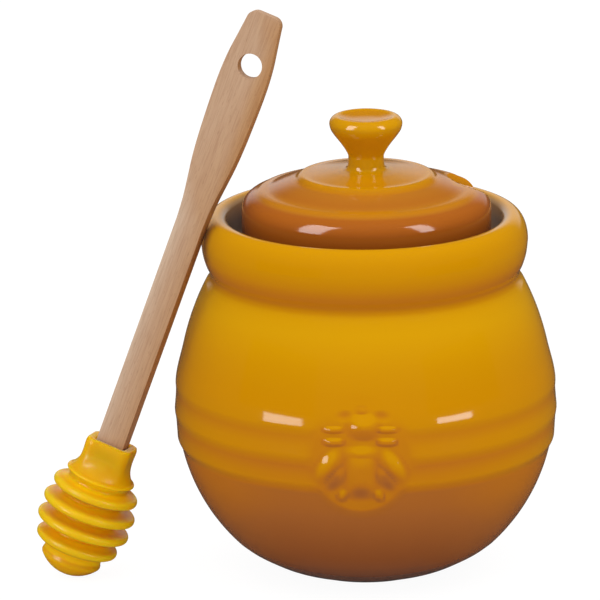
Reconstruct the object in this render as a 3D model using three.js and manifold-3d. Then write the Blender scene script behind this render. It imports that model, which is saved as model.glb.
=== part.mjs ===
// A glazed stoneware honey pot: a round jar with a rolled collar and moulded bands, a lift-off lid
// with a dished knob and a notch for the dipper, and a dipper with a beech handle in a silicone head.
// Millimetres, +Z up. The origin lies on the jar's axis in the plane that it stands on, and the
// moulded bee faces -Y.

import * as THREE from 'three';
import { mergeVertices } from 'three/addons/utils/BufferGeometryUtils.js';
import Module from 'manifold-3d';

// Jar, outside.
const footRadius = 20;
const footRingWidth = 3;
const footRecess = 0.8;
const footBevel = 0.6;
const bellyRadius = 56.3;
const bellyHeight = 50;
const bellyRise = 70;
const bellyFall = 56.3;
const footCurveHeight = 10;
const footCurvePull = 5.3;
const neckRadius = 45.6;
const neckHeight = 90.4;
const neckRounding = 2.4;
const neckSpread = THREE.MathUtils.degToRad(50);
const collarRadius = 48.5;
const collarWidestHeight = 100.7;
const lipHeight = 108.6;
const lipTopRadius = 44;
const lipInnerRadius = 41;
const lipInnerHeight = 107.6;

// Jar, inside: wall, floor, and the gallery that carries the lid.
const jarWall = 4.8;
const floorThickness = 5.5;
const floorCornerRise = 9;
const rimWallTaper = 1.4;
const galleryHeight = 99;
const galleryThickness = 4.5;
const galleryInnerRadius = 33.4;
const galleryFillet = 1.2;
const galleryUndercut = 6;

// Bands round the belly, like the coils of a straw skep. Each flares towards its lower lip, and the
// top one fades into the belly.
const bandCount = 3;
const bandBottom = 37.7;
const bandPitch = 8.6;
const bandLip = 3.1;
const bandRelief = 0.7;
const bandGroove = 0.3;
const bandFade = 10.8;
const bandFlankShares = [0.3, 0.65];

// Bee on its oval pad.
const padHalfWidth = 14.2;
const padHalfHeight = 15.4;
const padRelief = 1.1;
const padHeight = 49.6;
const padRimShare = 0.12;
const padRingShares = [0.6, 0.3, 0];
const bossRoot = 2;
const beeRelief = 1.5;
// Head, thorax, shoulders and abdomen, as shares of the pad's half sizes and of the relief: place up,
// half width, half height, and how far out.
const beeBodyShares = [
  [0.87, 0.16, 0.1, 0.4],
  [0.6, 0.28, 0.21, 1],
  [0.13, 0.34, 0.12, 0.9],
  [-0.33, 0.33, 0.49, 0.8],
];
// Two wings and three legs of one side: place across and up, half sizes, how far out, and turn.
const beeSideShares = [
  [0.7, -0.22, 0.2, 0.44, 0.9, 0.47],
  [0.53, -0.45, 0.16, 0.29, 0.5, 0.59],
  [0.55, 0.58, 0.2, 0.075, 0.6, -0.05],
  [0.53, 0.34, 0.2, 0.09, 0.6, -0.03],
  [0.39, -0.72, 0.085, 0.16, 0.7, 0.49],
];

// Lid. Rises are above its foot, which sits on the gallery.
const seatGap = 0.3;
const lidRadius = 36.8;
const lidWallRise = 10.7;
const lidCorner = 5;
const lidShoulderRadius = 31.4;
const lidShoulderRise = 16.1;
const lidThickness = 4.2;
const lidFillet = 2;
const plugDepth = 4;
const plugClearance = 1;
const bandInnerRadius = 20.4;
const bandInnerRise = 20;
const bandBow = 0.5;
const ringHeight = 0.35;
const ringWidth = 1.2;
const discRadius = 19.5;
const discEdgeRise = 21.4;
const discCentreRise = 22.6;

// Knob, in one piece with the lid.
const knobRadius = 10.8;
const knobWidestRise = 36.2;
const knobCrestRadius = 8.3;
const knobCrestRise = 38.9;
const knobDish = 1.3;
const stemRadius = 5.25;
const stemRise = 25.4;
const stemFootRadius = 7.2;
// Shares of the way up from the stem to the widest place, and of the way out.
const knobUnderShares = [[0.15, 0.03], [0.32, 0.17], [0.5, 0.4], [0.65, 0.7], [0.82, 0.93]];
// Shares of the crest's radius and of the dish's depth.
const knobDishShares = [[0.55, 0.75], [0, 1]];

// Notch in the lid's edge for the dipper's handle.
const notchAngle = THREE.MathUtils.degToRad(22);
const notchHalfWidth = 6.6;
const notchReach = 27.2;
const notchCorner = 4.5;
const notchFlare = 3;
const notchFlareDepth = 5;

// Dipper: how it leans on the collar.
const dipperLean = THREE.MathUtils.degToRad(20);
const dipperTurn = THREE.MathUtils.degToRad(14.5);
const dipperSide = 12.5;
const leanGap = 0.3;

// Dipper head: silicone, slipped over the handle's end. Heights are above its tip.
const headLength = 43.2;
const headCore = 8.2;
const discRadii = [12.45, 14.15, 14.2, 13.05];
const discFirstHeight = 10.4;
const discPitch = 5.7;
const discHalfThickness = 1.3;
const discRootReach = 2.6;
const discRootRise = 1;
const tipRimRadius = 9.15;
const tipRimHeight = 4.7;
const tipRimThickness = 1.4;
const flangeRadius = 10.45;
const flangeHeight = 32.3;
const flangeThickness = 1.5;
const flangeFlare = 4.5;
const collarWide = 14.2;
const collarDeep = 11.6;
const collarCorner = 2.8;
const collarEdge = 0.9;
const socketDepth = 18;
const socketClearance = 0.3;

// Dipper handle: beech, cut from a flat board.
const boardThickness = 6.4;
const boardEdge = 1;
const barWidth = 8.5;
const gripWidth = 14;
const gripLength = 65.5;
const gripEndCorner = 2.8;
const dipperLength = 182.4;
const holeRadius = 3.7;
const holeDistance = 16.4;
// Shares of the grip's length down from its end, and of the way from the bar's width to the grip's.
const gripShares = [
  [0, 0.24], [0.11, 0.45], [0.21, 0.78], [0.31, 0.97], [0.41, 1], [0.51, 0.98],
  [0.61, 0.89], [0.71, 0.7], [0.8, 0.42], [0.9, 0.13], [1, 0],
];

// How finely round forms are faceted, and the overrun of every cut.
const jarSides = 52;
const lidSides = 46;
const headSides = 28;
const padSides = 30;
const bossSides = 10;
const cutOverrun = 1;

const wasm = await Module();
wasm.setup();

function finish(name, colour, roughness) {
  const material = new THREE.MeshStandardMaterial({ color: colour, roughness, metalness: 0 });
  material.name = name;
  return material;
}

const { smoothstep } = THREE.MathUtils;

// A closed mesh as a solid that can be joined and cut.
function toSolid(geometry) {
  const bare = geometry.clone();
  bare.deleteAttribute('normal');
  bare.deleteAttribute('uv');
  const merged = mergeVertices(bare, 1e-4);
  const index = merged.index.array;
  const triangles = [];
  for (let i = 0; i < index.length; i += 3) {
    const [a, b, c] = [index[i], index[i + 1], index[i + 2]];
    if (a !== b && b !== c && c !== a) triangles.push(a, b, c);
  }
  const positions = new Float32Array(merged.attributes.position.array);
  const mesh = new wasm.Mesh({ numProp: 3, vertProperties: positions, triVerts: new Uint32Array(triangles) });
  return new wasm.Manifold(mesh);
}

function toGeometry(solid) {
  const mesh = solid.getMesh();
  const geometry = new THREE.BufferGeometry();
  const places = new Float32Array(mesh.triVerts.length * 3);
  mesh.triVerts.forEach((vertex, i) => {
    for (let k = 0; k < 3; k += 1) places[i * 3 + k] = mesh.vertProperties[vertex * mesh.numProp + k];
  });
  geometry.setAttribute('position', new THREE.BufferAttribute(places, 3));
  geometry.computeVertexNormals();
  return geometry;
}

// Turns an outline of [radius, height] points about the Z axis.
function turned(outline, sides) {
  const points = outline.map(([radius, height]) => new THREE.Vector2(radius, height));
  return new THREE.LatheGeometry(points, sides).rotateX(Math.PI / 2);
}

// Points along an ellipse about a centre, from one angle to another.
function arc(centre, radii, from, to, steps) {
  return Array.from({ length: steps + 1 }, (_, i) => {
    const angle = from + ((to - from) * i) / steps;
    return [centre[0] + radii[0] * Math.cos(angle), centre[1] + radii[1] * Math.sin(angle)];
  });
}

// Points along a smooth curve through the ones given.
function smooth(places, steps) {
  const curve = new THREE.SplineCurve(places.map(([x, y]) => new THREE.Vector2(x, y)));
  return curve.getPoints(steps).map((point) => [point.x, point.y]);
}

// The jar's belly without its bands: two half ellipses of one radius.
function bellyAt(height) {
  const reach = height > bellyHeight ? bellyRise : bellyFall;
  return bellyRadius * Math.sqrt(Math.max(0, 1 - ((height - bellyHeight) / reach) ** 2));
}

// How far the bands stand out from the belly at a height.
function bandsAt(height) {
  const above = height - bandBottom;
  const topLip = (bandCount - 1) * bandPitch + bandLip;
  if (above <= 0) return 0;
  if (above > topLip) return bandRelief * (1 - smoothstep(above - topLip, 0, bandFade));
  const turn = above % bandPitch;
  if (turn > bandLip) return bandRelief - bandGroove * smoothstep(turn, bandLip, bandPitch);
  const root = above < bandPitch ? 0 : bandRelief - bandGroove;
  return root + (bandRelief - root) * smoothstep(turn, 0, bandLip);
}

function jarOutline() {
  const footCurve = new THREE.QuadraticBezierCurve(
    new THREE.Vector2(footRadius, 0),
    new THREE.Vector2(bellyAt(footCurveHeight) - footCurvePull, footCurveHeight - footCurvePull),
    new THREE.Vector2(bellyAt(footCurveHeight), footCurveHeight),
  );
  const foot = footCurve.getPoints(3).map((point) => [point.x, point.y]);
  const lower = [];
  const lowerSteps = 4;
  for (let i = 1; i < lowerSteps; i += 1) {
    const height = footCurveHeight + ((bandBottom - footCurveHeight) * i) / lowerSteps;
    lower.push([bellyAt(height), height]);
  }
  const heights = [];
  const flankRises = bandFlankShares.map((share) => bandLip + share * (bandPitch - bandLip));
  for (let band = 0; band < bandCount; band += 1) {
    const flank = band < bandCount - 1 ? flankRises : [];
    const rises = [0, bandLip / 2, bandLip, ...flank];
    heights.push(...rises.map((rise) => bandBottom + band * bandPitch + rise));
  }
  const topLip = heights.at(-1);
  const upperSteps = 5;
  for (let i = 1; i < upperSteps; i += 1) {
    heights.push(topLip + ((neckHeight - neckRounding - topLip) * i) / upperSteps);
  }
  const upper = heights.map((height) => [bellyAt(height) + bandsAt(height), height]);
  const neck = arc(
    [neckRadius + neckRounding, neckHeight],
    [neckRounding, neckRounding],
    Math.PI + neckSpread,
    Math.PI - neckSpread,
    2,
  );
  const collarLower = arc(
    [collarRadius - neckRounding, collarWidestHeight],
    [neckRounding, collarWidestHeight - neckHeight - neckRounding],
    -Math.PI / 4,
    0,
    2,
  );
  const collarUpper = arc(
    [lipTopRadius, collarWidestHeight],
    [collarRadius - lipTopRadius, lipHeight - collarWidestHeight],
    0,
    Math.PI / 2,
    5,
  ).slice(1);
  const lip = arc(
    [lipTopRadius, lipInnerHeight],
    [lipTopRadius - lipInnerRadius, lipHeight - lipInnerHeight],
    Math.PI / 2,
    Math.PI,
    3,
  ).slice(1);
  return [...foot, ...lower, ...upper, ...neck, ...collarLower, ...collarUpper, ...lip];
}

function jarInside() {
  const seatOuter = lipInnerRadius - rimWallTaper;
  const gallery = [
    [seatOuter, galleryHeight + galleryFillet],
    [seatOuter - galleryFillet, galleryHeight],
    [galleryInnerRadius + galleryFillet / 2, galleryHeight],
    [galleryInnerRadius, galleryHeight - galleryFillet / 2],
    [galleryInnerRadius, galleryHeight - galleryThickness],
  ];
  const top = galleryHeight - galleryThickness - galleryUndercut;
  const bottom = floorThickness + floorCornerRise;
  const wall = [];
  const wallSteps = 6;
  for (let i = 0; i <= wallSteps; i += 1) {
    const height = top + ((bottom - top) * i) / wallSteps;
    wall.push([bellyAt(height) - jarWall, height]);
  }
  const cornerRadius = bellyAt(bottom) - jarWall;
  const corner = arc([0, bottom], [cornerRadius, floorCornerRise], 0, -Math.PI / 2, 6).slice(1, 5);
  return [...gallery, ...wall, ...corner, [0, floorThickness]];
}

// A closed solid through outlines of equal counts, each seen turning left from its far end.
function loft(outlines) {
  const count = outlines[0].length;
  const places = outlines.flat();
  const triangles = [];
  for (let level = 0; level < outlines.length - 1; level += 1) {
    for (let i = 0; i < count; i += 1) {
      const a = level * count + i;
      const b = level * count + ((i + 1) % count);
      triangles.push(a, b, b + count, a, b + count, a + count);
    }
  }
  const last = (outlines.length - 1) * count;
  for (let i = 1; i < count - 1; i += 1) {
    triangles.push(0, i + 1, i, last, last + i, last + i + 1);
  }
  const geometry = new THREE.BufferGeometry();
  geometry.setAttribute('position', new THREE.Float32BufferAttribute(places.flat(), 3));
  geometry.setIndex(triangles);
  return geometry;
}

// A place on the front of the belly: across it, up it and out from it.
function onBelly(across, height, out) {
  const radius = bellyAt(height) + out;
  const angle = across / bellyRadius;
  return [radius * Math.sin(angle), -radius * Math.cos(angle), height];
}

// An oval boss that follows the belly's curve. Its profile gives, from its edge to its middle, the
// share of its half sizes and how far it stands out there.
function boss({ across, height, halfWidth, halfHeight, profile, sides, turn = 0 }) {
  const ring = ([share, out]) =>
    Array.from({ length: sides }, (_, i) => {
      const angle = (2 * Math.PI * i) / sides;
      const place = new THREE.Vector2(halfWidth * Math.cos(angle), halfHeight * Math.sin(angle));
      place.multiplyScalar(share).rotateAround(new THREE.Vector2(), turn);
      return onBelly(across + place.x, height + place.y, out);
    });
  return toSolid(loft([[1, -bossRoot], ...profile].map(ring)));
}

// A bee seen from above on an oval pad: head, thorax, shoulders and abdomen, four wings and six legs.
function makeBee() {
  const padRim = arc([1 - padRimShare, 0], [padRimShare, padRelief], 0, Math.PI / 2, 3);
  const padRings = padRingShares.map((share) => [share, padRelief]);
  let bee = boss({
    across: 0,
    height: padHeight,
    halfWidth: padHalfWidth,
    halfHeight: padHalfHeight,
    profile: [...padRim, ...padRings],
    sides: padSides,
  });
  const raise = (across, up, halfWidth, halfHeight, share, turn) => {
    const part = boss({
      across: across * padHalfWidth,
      height: padHeight + up * padHalfHeight,
      halfWidth: halfWidth * padHalfWidth,
      halfHeight: halfHeight * padHalfHeight,
      profile: arc([0, padRelief], [1, beeRelief * share], 0, Math.PI / 2, 2),
      sides: bossSides,
      turn,
    });
    bee = bee.add(part);
  };
  for (const [up, halfWidth, halfHeight, share] of beeBodyShares) {
    raise(0, up, halfWidth, halfHeight, share, 0);
  }
  for (const [across, up, halfWidth, halfHeight, share, turn] of beeSideShares) {
    for (const side of [-1, 1]) raise(side * across, up, halfWidth, halfHeight, share, side * turn);
  }
  return bee;
}

function makeJar() {
  const outline = [
    [0, footRecess],
    [footRadius - footRingWidth - footBevel, footRecess],
    [footRadius - footRingWidth, 0],
    ...jarOutline(),
    ...jarInside(),
  ];
  return toSolid(turned(outline, jarSides)).add(makeBee());
}

const lidSeat = galleryHeight + seatGap;

// Where the lid's band lies at a radius: a shallow bow between the disc and the shoulder.
function lidBandAt(radius) {
  const share = (radius - bandInnerRadius) / (lidShoulderRadius - bandInnerRadius);
  const bow = bandBow * Math.sin(Math.PI * share);
  return bandInnerRise + share * (lidShoulderRise - bandInnerRise) + bow;
}

function lidOutline() {
  const plugRadius = galleryInnerRadius - plugClearance;
  const hollowRadius = plugRadius - lidThickness;
  const shoulder = arc([lidRadius - lidCorner, lidWallRise], [lidCorner, lidCorner], 0, Math.PI / 2, 4);
  const bandMiddle = (bandInnerRadius + lidShoulderRadius) / 2;
  const underside = [
    [0, discCentreRise - lidThickness],
    [discRadius, bandInnerRise - lidThickness],
    [hollowRadius - lidFillet, lidBandAt(hollowRadius) - lidThickness],
    [hollowRadius, lidBandAt(hollowRadius) - lidThickness - lidFillet],
    [hollowRadius, -plugDepth],
  ];
  const wall = [
    [plugRadius, -plugDepth],
    [plugRadius, 0],
    [lidRadius, 0],
    ...shoulder,
    [lidShoulderRadius, lidShoulderRise],
  ];
  const ring = [
    [lidShoulderRadius - ringWidth / 2, lidBandAt(lidShoulderRadius - ringWidth / 2) + ringHeight],
    [lidShoulderRadius - ringWidth, lidBandAt(lidShoulderRadius - ringWidth)],
    [bandMiddle, lidBandAt(bandMiddle)],
    [bandInnerRadius, bandInnerRise],
    [discRadius, discEdgeRise],
  ];
  const stem = arc(
    [stemFootRadius, stemRise],
    [stemFootRadius - stemRadius, stemRise - discCentreRise],
    -Math.PI / 2,
    -Math.PI,
    3,
  );
  const knobUnder = knobUnderShares.map(([up, out]) => [
    stemRadius + out * (knobRadius - stemRadius),
    stemRise + up * (knobWidestRise - stemRise),
  ]);
  const knobTop = arc(
    [knobCrestRadius, knobWidestRise],
    [knobRadius - knobCrestRadius, knobCrestRise - knobWidestRise],
    0,
    Math.PI / 2,
    3,
  );
  const knobDishing = knobDishShares.map(([out, down]) => [
    out * knobCrestRadius,
    knobCrestRise - down * knobDish,
  ]);
  return [
    ...underside,
    ...wall,
    ...ring,
    ...stem,
    ...knobUnder,
    ...knobTop,
    ...knobDishing,
  ];
}

// The notch's outline at a height, wider by a margin all round.
function notchOutline(margin, height) {
  const halfWidth = notchHalfWidth + margin;
  const reach = notchReach - margin;
  const corner = notchCorner + margin;
  const outer = lidRadius + notchHalfWidth;
  const lower = arc([reach + corner, corner - halfWidth], [corner, corner], -Math.PI / 2, -Math.PI, 5);
  const upper = arc([reach + corner, halfWidth - corner], [corner, corner], Math.PI, Math.PI / 2, 5);
  const plan = [[outer, halfWidth], ...upper.reverse(), ...lower.reverse(), [outer, -halfWidth]];
  return plan.map(([x, y]) => [x, y, height]);
}

function makeNotch() {
  const flareTop = lidShoulderRise;
  const levels = [notchOutline(0, -plugDepth - cutOverrun)];
  const steps = 4;
  for (let i = 0; i <= steps; i += 1) {
    const angle = (Math.PI / 2) * (i / steps);
    const margin = notchFlare * (1 - Math.cos(angle));
    levels.push(notchOutline(margin, flareTop - notchFlareDepth * (1 - Math.sin(angle))));
  }
  levels.push(notchOutline(notchFlare, discCentreRise + cutOverrun));
  return toSolid(loft(levels).rotateZ(notchAngle));
}

function makeLid() {
  return toSolid(turned(lidOutline(), lidSides)).subtract(makeNotch());
}

// A rounded rectangle at a height.
function roundedRectangle(wide, deep, corner, height) {
  const outline = [];
  const cornerSteps = 4;
  for (const [turn, x, y] of [[0, 1, 1], [1, -1, 1], [2, -1, -1], [3, 1, -1]]) {
    const centre = [x * (wide / 2 - corner), y * (deep / 2 - corner)];
    const from = (turn * Math.PI) / 2;
    outline.push(...arc(centre, [corner, corner], from, from + Math.PI / 2, cornerSteps));
  }
  return outline.map(([x, y]) => [x, y, height]);
}

// The tip is a shallow cap of a sphere, on which the dipper stands.
const tipSphere = (tipRimRadius ** 2 + tipRimHeight ** 2) / (2 * tipRimHeight);

function headOutline() {
  const tipSteps = 5;
  const tipAngle = Math.asin(tipRimRadius / tipSphere);
  const outline = [];
  for (let i = 0; i <= tipSteps; i += 1) {
    const angle = (tipAngle * i) / tipSteps;
    outline.push([tipSphere * Math.sin(angle), tipSphere * (1 - Math.cos(angle))]);
  }
  outline.push([tipRimRadius, tipRimHeight + tipRimThickness / 2]);
  outline.push([headCore, tipRimHeight + tipRimThickness]);
  discRadii.forEach((radius, i) => {
    const height = discFirstHeight + i * discPitch;
    const rim = [radius - discHalfThickness, height];
    const rootRise = discHalfThickness + discRootRise;
    outline.push([headCore, height - rootRise]);
    outline.push([headCore + discRootReach, height - discHalfThickness]);
    outline.push(...arc(rim, [discHalfThickness, discHalfThickness], -Math.PI / 2, Math.PI / 2, 4));
    outline.push([headCore + discRootReach, height + discHalfThickness]);
    outline.push([headCore, height + rootRise]);
  });
  outline.push([headCore, flangeHeight - flangeThickness]);
  outline.push([flangeRadius - flangeThickness / 2, flangeHeight - flangeThickness / 2]);
  outline.push([flangeRadius, flangeHeight]);
  outline.push([flangeRadius - flangeThickness / 2, flangeHeight + flangeThickness / 2]);
  outline.push([headCore, flangeHeight + flangeFlare / 2]);
  outline.push([collarDeep / 2 - collarEdge, flangeHeight + flangeFlare]);
  outline.push([0, flangeHeight + flangeFlare]);
  return outline;
}

function makeHead() {
  const collar = loft([
    roundedRectangle(collarWide, collarDeep, collarCorner, flangeHeight),
    roundedRectangle(collarWide, collarDeep, collarCorner, headLength - collarEdge),
    roundedRectangle(collarWide - collarEdge, collarDeep - collarEdge, collarCorner, headLength),
  ]);
  const socketWide = barWidth + 2 * socketClearance;
  const socketDeep = boardThickness + 2 * socketClearance;
  const socket = loft([
    roundedRectangle(socketWide, socketDeep, boardEdge, headLength - socketDepth),
    roundedRectangle(socketWide, socketDeep, boardEdge, headLength + cutOverrun),
  ]);
  return toSolid(turned(headOutline(), headSides)).add(toSolid(collar)).subtract(toSolid(socket));
}

// The handle's outline is cut from a board, then its edges are rounded.
function makeHandle() {
  const top = dipperLength;
  const bottom = headLength - socketDepth + socketClearance;
  const halfBar = barWidth / 2 - boardEdge;
  const side = gripShares.map(([down, out]) => [
    halfBar + (out * (gripWidth - barWidth)) / 2,
    top - boardEdge - down * gripLength,
  ]);
  const end = side.shift();
  const flank = smooth([[end[0], end[1] - gripEndCorner], ...side], 22);
  const outline = new THREE.Shape();
  outline.moveTo(-halfBar, bottom + boardEdge);
  outline.lineTo(halfBar, bottom + boardEdge);
  for (const [x, y] of [...flank].reverse()) outline.lineTo(x, y);
  outline.quadraticCurveTo(end[0], end[1], end[0] - gripEndCorner, end[1]);
  outline.lineTo(gripEndCorner - end[0], end[1]);
  outline.quadraticCurveTo(-end[0], end[1], -end[0], end[1] - gripEndCorner);
  for (const [x, y] of flank.slice(1)) outline.lineTo(-x, y);
  const hole = new THREE.Path();
  hole.absarc(0, top - holeDistance, holeRadius + boardEdge, 0, 2 * Math.PI, true);
  outline.holes.push(hole);
  const geometry = new THREE.ExtrudeGeometry(outline, {
    depth: boardThickness - 2 * boardEdge,
    bevelThickness: boardEdge,
    bevelSize: boardEdge,
    bevelSegments: 2,
    curveSegments: 10,
  });
  geometry.translate(0, 0, boardEdge - boardThickness / 2);
  return geometry.rotateX(Math.PI / 2);
}

// How far left the middle of the dipper's tip must stand for the handle's back right edge to
// clear the collar at every height.
function dipperReach() {
  const rise = Math.tan(dipperLean);
  const across = barWidth / 2 - boardEdge;
  const back = boardThickness / 2 - boardEdge;
  const out = across * Math.cos(dipperTurn) + back * Math.sin(dipperTurn);
  const edgeX = out * Math.cos(dipperLean);
  const edgeY = back * Math.cos(dipperTurn) - across * Math.sin(dipperTurn) - dipperSide;
  const edgeZ = tipSphere - out * Math.sin(dipperLean);
  const clearance = (boardEdge + leanGap) / Math.cos(dipperLean);
  const reaches = jarOutline().map(([radius, height]) => {
    const wide = Math.max(radius + clearance, Math.abs(edgeY));
    return Math.sqrt(wide ** 2 - edgeY ** 2) + edgeX + (height - edgeZ) * rise;
  });
  return Math.max(...reaches);
}

const materials = {
  jar: finish('jar glaze', 0xe3960f, 0.15),
  lid: finish('lid glaze', 0xdf8f14, 0.15),
  head: finish('silicone', 0xf2b01e, 0.45),
  handle: finish('beech', 0xc49a72, 0.6),
};

function named(name, geometry, material) {
  const mesh = new THREE.Mesh(geometry, material);
  mesh.name = name;
  return mesh;
}

const honeyPot = new THREE.Group();
honeyPot.add(named('jar', toGeometry(makeJar()), materials.jar));

const lid = named('lid', toGeometry(makeLid()), materials.lid);
lid.position.z = lidSeat;
honeyPot.add(lid);

// The dipper turns about its own length, then leans, with the middle of its tip's cap at the pivot.
const turnedDipper = new THREE.Group();
turnedDipper.rotation.z = -dipperTurn;
const leaningDipper = new THREE.Group();
leaningDipper.rotation.y = dipperLean;
leaningDipper.position.set(-dipperReach(), -dipperSide, tipSphere);
for (const piece of [
  named('dipper_head', toGeometry(makeHead()), materials.head),
  named('dipper_handle', makeHandle(), materials.handle),
]) {
  piece.position.z = -tipSphere;
  turnedDipper.add(piece);
}
leaningDipper.add(turnedDipper);
honeyPot.add(leaningDipper);

export default honeyPot;
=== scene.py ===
import math

import bpy
from mathutils import Matrix, Vector


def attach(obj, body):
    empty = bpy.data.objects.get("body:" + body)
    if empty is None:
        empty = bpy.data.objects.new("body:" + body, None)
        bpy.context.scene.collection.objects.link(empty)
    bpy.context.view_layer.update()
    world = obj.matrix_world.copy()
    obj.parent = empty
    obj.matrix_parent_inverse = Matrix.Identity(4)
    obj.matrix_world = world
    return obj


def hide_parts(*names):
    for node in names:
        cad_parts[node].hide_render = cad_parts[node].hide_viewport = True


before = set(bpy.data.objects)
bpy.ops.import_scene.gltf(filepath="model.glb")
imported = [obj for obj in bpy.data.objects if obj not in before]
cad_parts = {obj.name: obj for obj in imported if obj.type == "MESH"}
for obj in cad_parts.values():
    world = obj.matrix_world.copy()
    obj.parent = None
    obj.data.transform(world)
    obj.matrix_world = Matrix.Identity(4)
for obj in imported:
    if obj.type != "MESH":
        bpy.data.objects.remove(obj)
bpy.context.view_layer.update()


# The jar is stoneware, slip cast in one piece with its rolled collar, its three bands and the bee on
# its pad, and fired on its foot ring. Its outline is drawn first and spun round the axis, finely
# where the bee stands, and the bee is then raised out of the wall.
MM = 0.001
FOOT_RADIUS = 20
FOOT_RING = 3
FOOT_RECESS = 0.8
BELLY_RADIUS = 56.3
BELLY_HEIGHT = 50
BELLY_RISE = 70
BELLY_FALL = 56.3
BAND_BOTTOM = 37.7
BAND_PITCH = 8.6
BAND_COUNT = 3
BAND_LIP = 3.1
BAND_OUT = 0.7
BAND_DEPTH = 0.3
BAND_FADE = 10.8
NECK_RADIUS = 45.6
NECK_HEIGHT = 90.4
COLLAR_RADIUS = 48.5
COLLAR_HEIGHT = 100.7
LIP_HEIGHT = 108.6
LIP_RADIUS = 44
LIP_ROUNDING = 1.6
RIM_INNER_RADIUS = 41
WALL = 4.8
FLOOR_HEIGHT = 5.5
GALLERY_HEIGHT = 99
GALLERY_RADIUS = 33.4


def belly(height):
    reach = BELLY_RISE if height > BELLY_HEIGHT else BELLY_FALL
    return BELLY_RADIUS * math.sqrt(1 - ((height - BELLY_HEIGHT) / reach) ** 2)


def smooth(share):
    share = min(1, max(0, share))
    return share * share * (3 - 2 * share)


def bands(height):
    """How far the bands stand out. Each flares towards its lower lip, like coils on one another."""
    above = height - BAND_BOTTOM
    top_lip = (BAND_COUNT - 1) * BAND_PITCH + BAND_LIP
    if above <= 0:
        return 0
    if above > top_lip:
        return BAND_OUT * (0.5 + 0.5 * math.cos(math.pi * min(1, (above - top_lip) / BAND_FADE)))
    groove = BAND_OUT - BAND_DEPTH if above > BAND_PITCH else 0
    turn = above % BAND_PITCH
    if turn < BAND_LIP:
        return groove + (BAND_OUT - groove) * smooth(turn / BAND_LIP)
    return BAND_OUT - BAND_DEPTH * smooth(((turn - BAND_LIP) / (BAND_PITCH - BAND_LIP)) ** 0.6)


def arc(centre, radii, start, end, steps):
    turns = [math.radians(start + (end - start) * i / steps) for i in range(steps + 1)]
    return [(centre[0] + radii[0] * math.cos(t), centre[1] + radii[1] * math.sin(t)) for t in turns]


def blend(points, steps):
    """A smooth curve through the points, as evenly spaced places."""
    ends = [points[0], *points, points[-1]]
    places = []
    for before, a, b, after in zip(ends, ends[1:], ends[2:], ends[3:]):
        for i in range(steps):
            t = i / steps
            places.append(tuple(
                0.5 * (2 * a[k] + (b[k] - before[k]) * t
                       + (2 * before[k] - 5 * a[k] + 4 * b[k] - after[k]) * t ** 2
                       + (3 * a[k] - before[k] - 3 * b[k] + after[k]) * t ** 3)
                for k in range(2)))
    return [*places, points[-1]]


def draw(name, places):
    """A line drawn by extruding one vertex from place to place, in millimetres."""
    bpy.ops.object.select_all(action="DESELECT")
    bpy.ops.mesh.primitive_plane_add(size=MM, location=Vector(places[0]) * MM)
    piece = bpy.context.object
    piece.name = piece.data.name = name
    bpy.ops.object.transform_apply(location=True)
    bpy.ops.object.mode_set(mode="EDIT")
    bpy.ops.mesh.select_mode(type="VERT")
    bpy.ops.mesh.merge(type="CENTER")
    for a, b in zip(places, places[1:]):
        step = (Vector(b) - Vector(a)) * MM
        bpy.ops.mesh.extrude_region_move(TRANSFORM_OT_translate={"value": step})
    bpy.ops.mesh.select_all(action="SELECT")
    return piece


def spin_round(piece, sectors):
    """Spins the drawn line round the Z axis, each sector with its own number of steps."""
    for degrees, steps in sectors:
        bpy.ops.mesh.spin(steps=steps, angle=math.radians(degrees), center=(0, 0, 0), axis=(0, 0, 1))
    bpy.ops.mesh.select_all(action="SELECT")
    bpy.ops.mesh.remove_doubles(threshold=MM * 0.002)
    bpy.ops.mesh.normals_make_consistent(inside=False)
    bpy.ops.object.mode_set(mode="OBJECT")
    bpy.ops.object.shade_smooth()
    return piece


# The wall's rings stand closest where the bands are.
heights = [10 + 0.9 * i for i in range(27)]
heights += [34 + 0.4 * i for i in range(81)]
heights += [67 + 1.1 * i for i in range(20)]
wall_outside = [(belly(z) + bands(z), z) for z in heights]
foot_curve = blend([(FOOT_RADIUS, 0), (24, 1.4), (28.2, 2.9), (32.1, 4.9), (36.3, 7.4),
                    wall_outside[0]], 4)
neck = blend([wall_outside[-1], (NECK_RADIUS + 0.15, NECK_HEIGHT - 0.5),
              (NECK_RADIUS + 0.35, NECK_HEIGHT + 1.2), (47, 93.4), (48.05, 96.8),
              (COLLAR_RADIUS, COLLAR_HEIGHT)], 5)
collar = arc((LIP_RADIUS, COLLAR_HEIGHT),
             (COLLAR_RADIUS - LIP_RADIUS, LIP_HEIGHT - COLLAR_HEIGHT), 0, 90, 16)
lip = arc((LIP_RADIUS, LIP_HEIGHT - LIP_ROUNDING), (LIP_RADIUS - RIM_INNER_RADIUS, LIP_ROUNDING),
          90, 180, 8)
gallery = [(40.3, 103), (39.6, 100.4), (39.2, 99.5), (38.4, GALLERY_HEIGHT), (34.2, GALLERY_HEIGHT),
           (33.6, 98.8), (GALLERY_RADIUS, 98.2), (GALLERY_RADIUS, 94.6), (34.2, 93.6)]
inner_heights = (88.5, 84, 79, 74, 68, 62, 56, 50, 44, 38, 32, 26, 20, 16)
under_gallery = [(belly(z) - WALL, z) for z in inner_heights]
base = blend([under_gallery[-1], (35.5, 11.2), (28, 7.2), (18, 5.8), (8, FLOOR_HEIGHT),
              (0, FLOOR_HEIGHT)], 3)
underneath = [(0, FOOT_RECESS), (FOOT_RADIUS - FOOT_RING - 0.6, FOOT_RECESS),
              (FOOT_RADIUS - FOOT_RING, 0)]
outline = [*underneath, *foot_curve, *wall_outside[1:], *neck[1:], *collar[1:], *lip[1:], *gallery,
           *under_gallery, *base[1:]]

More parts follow.
